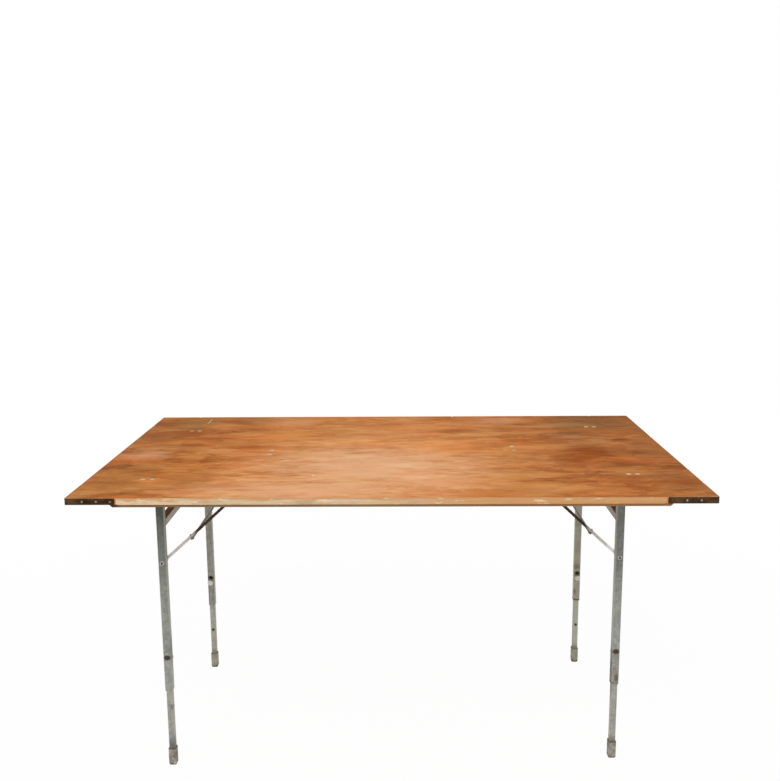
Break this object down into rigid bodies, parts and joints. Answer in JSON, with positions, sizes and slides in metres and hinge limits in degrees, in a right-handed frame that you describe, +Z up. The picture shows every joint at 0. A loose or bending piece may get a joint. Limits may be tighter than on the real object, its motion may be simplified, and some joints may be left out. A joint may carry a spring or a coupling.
{
  "type": "folding trestle table",
  "caption": "Folding trestle table with a rectangular plywood top, metal-bound corners, wishbone stays and telescopic square-tube legs with rubber feet.",
  "frame": {"origin": "on the floor under the middle of the table top", "axes": "+X along the length, -Y towards the front long edge, +Z up"},
  "size_m": [1.526, 0.916, 0.782],
  "materials": {
    "plywood_top": "worn varnished plywood",
    "edge_lipping": "bare worn hardwood strip",
    "rail_wood": "dark varnished softwood",
    "corner_iron": "brown lacquer, scuffed",
    "rivet_alloy": "dull soft metal",
    "galvanised_steel": "weathered galvanised tube",
    "stay_steel": "plated square bar",
    "bolt_steel": "zinc plated",
    "knob_steel": "plated, worn",
    "foot_rubber": "grubby grey moulding"
  },
  "bodies": {
    "top": {"tabletop_panel": "plywood_top", "front_lipping": "edge_lipping", "rear_lipping": "edge_lipping", "left_lipping": "edge_lipping", "right_lipping": "edge_lipping", "front_rail": "rail_wood", "rear_rail": "rail_wood", "rail_screws": "rivet_alloy", "corner_iron_rivets": "rivet_alloy", "leg_bracket_rivets": "rivet_alloy", "stay_keeper_rivets": "rivet_alloy", "leg_pivot_pins": "bolt_steel", "left_stay_keeper": "galvanised_steel", "right_stay_keeper": "galvanised_steel", "corner_iron_front_left": "corner_iron", "leg_bracket_front_left": "galvanised_steel", "corner_iron_rear_left": "corner_iron", "leg_bracket_rear_left": "galvanised_steel", "corner_iron_front_right": "corner_iron", "leg_bracket_front_right": "galvanised_steel", "corner_iron_rear_right": "corner_iron", "leg_bracket_rear_right": "galvanised_steel"},
    "left_leg_frame": {"upper_leg_front_left": "galvanised_steel", "upper_leg_rear_left": "galvanised_steel", "left_crossbar": "galvanised_steel", "left_stay_bolts": "bolt_steel", "left_stay_nuts": "bolt_steel", "left_screw_bosses": "galvanised_steel"},
    "left_stay": {"stay_bar_front_left": "stay_steel", "stay_bar_rear_left": "stay_steel", "left_spreader": "stay_steel", "left_spreader_rivets": "rivet_alloy", "left_stay_pin": "bolt_steel"},
    "front_left_lower_leg": {"lower_leg_front_left": "galvanised_steel", "foot_front_left": "foot_rubber"},
    "front_left_clamp": {"clamp_screw_front_left": "knob_steel"},
    "rear_left_lower_leg": {"lower_leg_rear_left": "galvanised_steel", "foot_rear_left": "foot_rubber"},
    "rear_left_clamp": {"clamp_screw_rear_left": "knob_steel"},
    "right_leg_frame": {"upper_leg_front_right": "galvanised_steel", "upper_leg_rear_right": "galvanised_steel", "right_crossbar": "galvanised_steel", "right_stay_bolts": "bolt_steel", "right_stay_nuts": "bolt_steel", "right_screw_bosses": "galvanised_steel"},
    "right_stay": {"stay_bar_front_right": "stay_steel", "stay_bar_rear_right": "stay_steel", "right_spreader": "stay_steel", "right_spreader_rivets": "rivet_alloy", "right_stay_pin": "bolt_steel"},
    "front_right_lower_leg": {"lower_leg_front_right": "galvanised_steel", "foot_front_right": "foot_rubber"},
    "front_right_clamp": {"clamp_screw_front_right": "knob_steel"},
    "rear_right_lower_leg": {"lower_leg_rear_right": "galvanised_steel", "foot_rear_right": "foot_rubber"},
    "rear_right_clamp": {"clamp_screw_rear_right": "knob_steel"}
  },
  "joints": [
    {"name": "left_leg_fold", "type": "hinge", "parent": "top", "child": "left_leg_frame", "pos_m": [-0.583, -0.018, 0.75], "axis": [0, -1, 0], "range_deg": [0, 90]},
    {"name": "left_stay_swing", "type": "hinge", "parent": "left_leg_frame", "child": "left_stay", "pos_m": [-0.583, -0.018, 0.564], "axis": [0, -1, 0], "range_deg": [-128, 0]},
    {"name": "front_left_height", "type": "slide", "parent": "left_leg_frame", "child": "front_left_lower_leg", "axis": [0, 0, -1], "range_m": [-0.15, 0.088]},
    {"name": "front_left_clamp_turn", "type": "hinge", "parent": "left_leg_frame", "child": "front_left_clamp", "pos_m": [-0.583, -0.271, 0.293], "axis": [0, 1, 0], "range_deg": [0, 270]},
    {"name": "rear_left_height", "type": "slide", "parent": "left_leg_frame", "child": "rear_left_lower_leg", "axis": [0, 0, -1], "range_m": [-0.15, 0.088]},
    {"name": "rear_left_clamp_turn", "type": "hinge", "parent": "left_leg_frame", "child": "rear_left_clamp", "pos_m": [-0.583, 0.235, 0.293], "axis": [0, -1, 0], "range_deg": [0, 270]},
    {"name": "right_leg_fold", "type": "hinge", "parent": "top", "child": "right_leg_frame", "pos_m": [0.583, 0.018, 0.75], "axis": [0, 1, 0], "range_deg": [0, 90]},
    {"name": "right_stay_swing", "type": "hinge", "parent": "right_leg_frame", "child": "right_stay", "pos_m": [0.583, 0.018, 0.564], "axis": [0, 1, 0], "range_deg": [-128, 0]},
    {"name": "front_right_height", "type": "slide", "parent": "right_leg_frame", "child": "front_right_lower_leg", "axis": [0, 0, -1], "range_m": [-0.15, 0.088]},
    {"name": "front_right_clamp_turn", "type": "hinge", "parent": "right_leg_frame", "child": "front_right_clamp", "pos_m": [0.583, -0.235, 0.293], "axis": [0, 1, 0], "range_deg": [0, 270]},
    {"name": "rear_right_height", "type": "slide", "parent": "right_leg_frame", "child": "rear_right_lower_leg", "axis": [0, 0, -1], "range_m": [-0.15, 0.088]},
    {"name": "rear_right_clamp_turn", "type": "hinge", "parent": "right_leg_frame", "child": "rear_right_clamp", "pos_m": [0.583, 0.271, 0.293], "axis": [0, -1, 0], "range_deg": [0, 270]}
  ],
  "couplings": [
    {"joint": "left_stay_swing", "follows": "left_leg_fold", "ratio": -1.4159},
    {"joint": "right_stay_swing", "follows": "right_leg_fold", "ratio": -1.4159}
  ]
}
